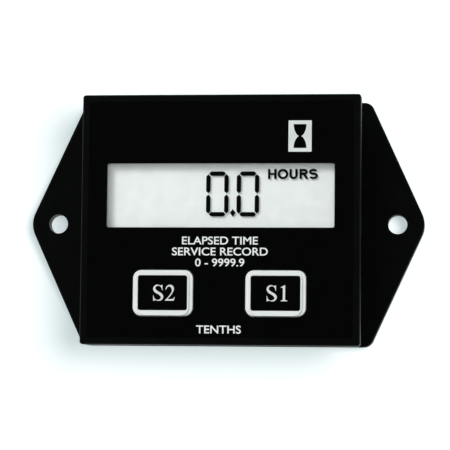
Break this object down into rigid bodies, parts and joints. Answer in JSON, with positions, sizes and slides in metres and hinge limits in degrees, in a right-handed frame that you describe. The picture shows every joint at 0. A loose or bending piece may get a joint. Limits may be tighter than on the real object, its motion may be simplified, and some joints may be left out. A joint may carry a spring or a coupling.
{
  "type": "hour meter",
  "caption": "Black surface-mounted hour meter with a liquid crystal window, pale-rimmed push buttons and a hexagonal mounting plate with screw ears.",
  "frame": {"origin": "centre of the mounting face, midway between the two screw holes", "axes": "+X to the right of the dial, along the line of the screw holes; +Y up the dial; +Z out of the face, away from the panel it is screwed to"},
  "size_m": [0.0786, 0.0488, 0.0157],
  "materials": {
    "case_black": "fine moulded satin",
    "overlay_black": "printed film",
    "window_clear": "clear",
    "key_grey": "satin",
    "key_black": "satin",
    "display_glass": "clear",
    "polariser_film": "satin film",
    "reflector_film": "pale reflective film",
    "holder_ivory": "moulded",
    "seal_rubber": "matt",
    "contact_rubber": "striped silicone",
    "board_green": "solder resist",
    "chip_black": "moulded epoxy",
    "switch_black": "moulded",
    "steel_bright": "bright",
    "tin_plate": "tinned",
    "screw_black": "blackened",
    "pin_brass": "tinned brass",
    "capacitor_tan": "fired",
    "resistor_black": "fired",
    "print_white": "printed ink",
    "display_ink": "darkened liquid crystal"
  },
  "bodies": {
    "root": {"rear_case": "case_black", "front_bezel": "case_black", "case_gasket": "seal_rubber", "face_overlay": "overlay_black", "window_lens": "window_clear", "switch_base_s1": "switch_black", "switch_base_s2": "switch_black", "switch_cover_s1": "steel_bright", "switch_cover_s2": "steel_bright", "switch_dome_s1": "steel_bright", "switch_dome_s2": "steel_bright", "switch_terminals_s1": "tin_plate", "switch_terminals_s2": "tin_plate", "front_polariser": "polariser_film", "lcd_front_glass": "display_glass", "lcd_rear_glass": "display_glass", "rear_reflector": "reflector_film", "lcd_holder": "holder_ivory", "zebra_strip_upper": "contact_rubber", "zebra_strip_lower": "contact_rubber", "circuit_board": "board_green", "controller_chip": "chip_black", "memory_chip": "chip_black", "quartz_crystal": "steel_bright", "chip_capacitors": "capacitor_tan", "chip_resistors": "resistor_black", "battery": "steel_bright", "battery_tab_positive": "tin_plate", "battery_tab_negative": "tin_plate", "lead_pins": "pin_brass", "lead_grommet": "seal_rubber", "case_screws": "screw_black", "board_screws": "steel_bright"},
    "button_s1": {"key_cap_s1": "key_grey", "key_label_s1": "key_black", "switch_plunger_s1": "switch_black"},
    "button_s2": {"key_cap_s2": "key_grey", "key_label_s2": "key_black", "switch_plunger_s2": "switch_black"}
  },
  "joints": [
    {"name": "press_s1", "type": "slide", "parent": "root", "child": "button_s1", "axis": [0, 0, -1], "range_m": [0, 0.0003], "stiffness_N_per_m": 4000, "deforming": ["switch_dome_s1"]},
    {"name": "press_s2", "type": "slide", "parent": "root", "child": "button_s2", "axis": [0, 0, -1], "range_m": [0, 0.0003], "stiffness_N_per_m": 4000, "deforming": ["switch_dome_s2"]}
  ]
}
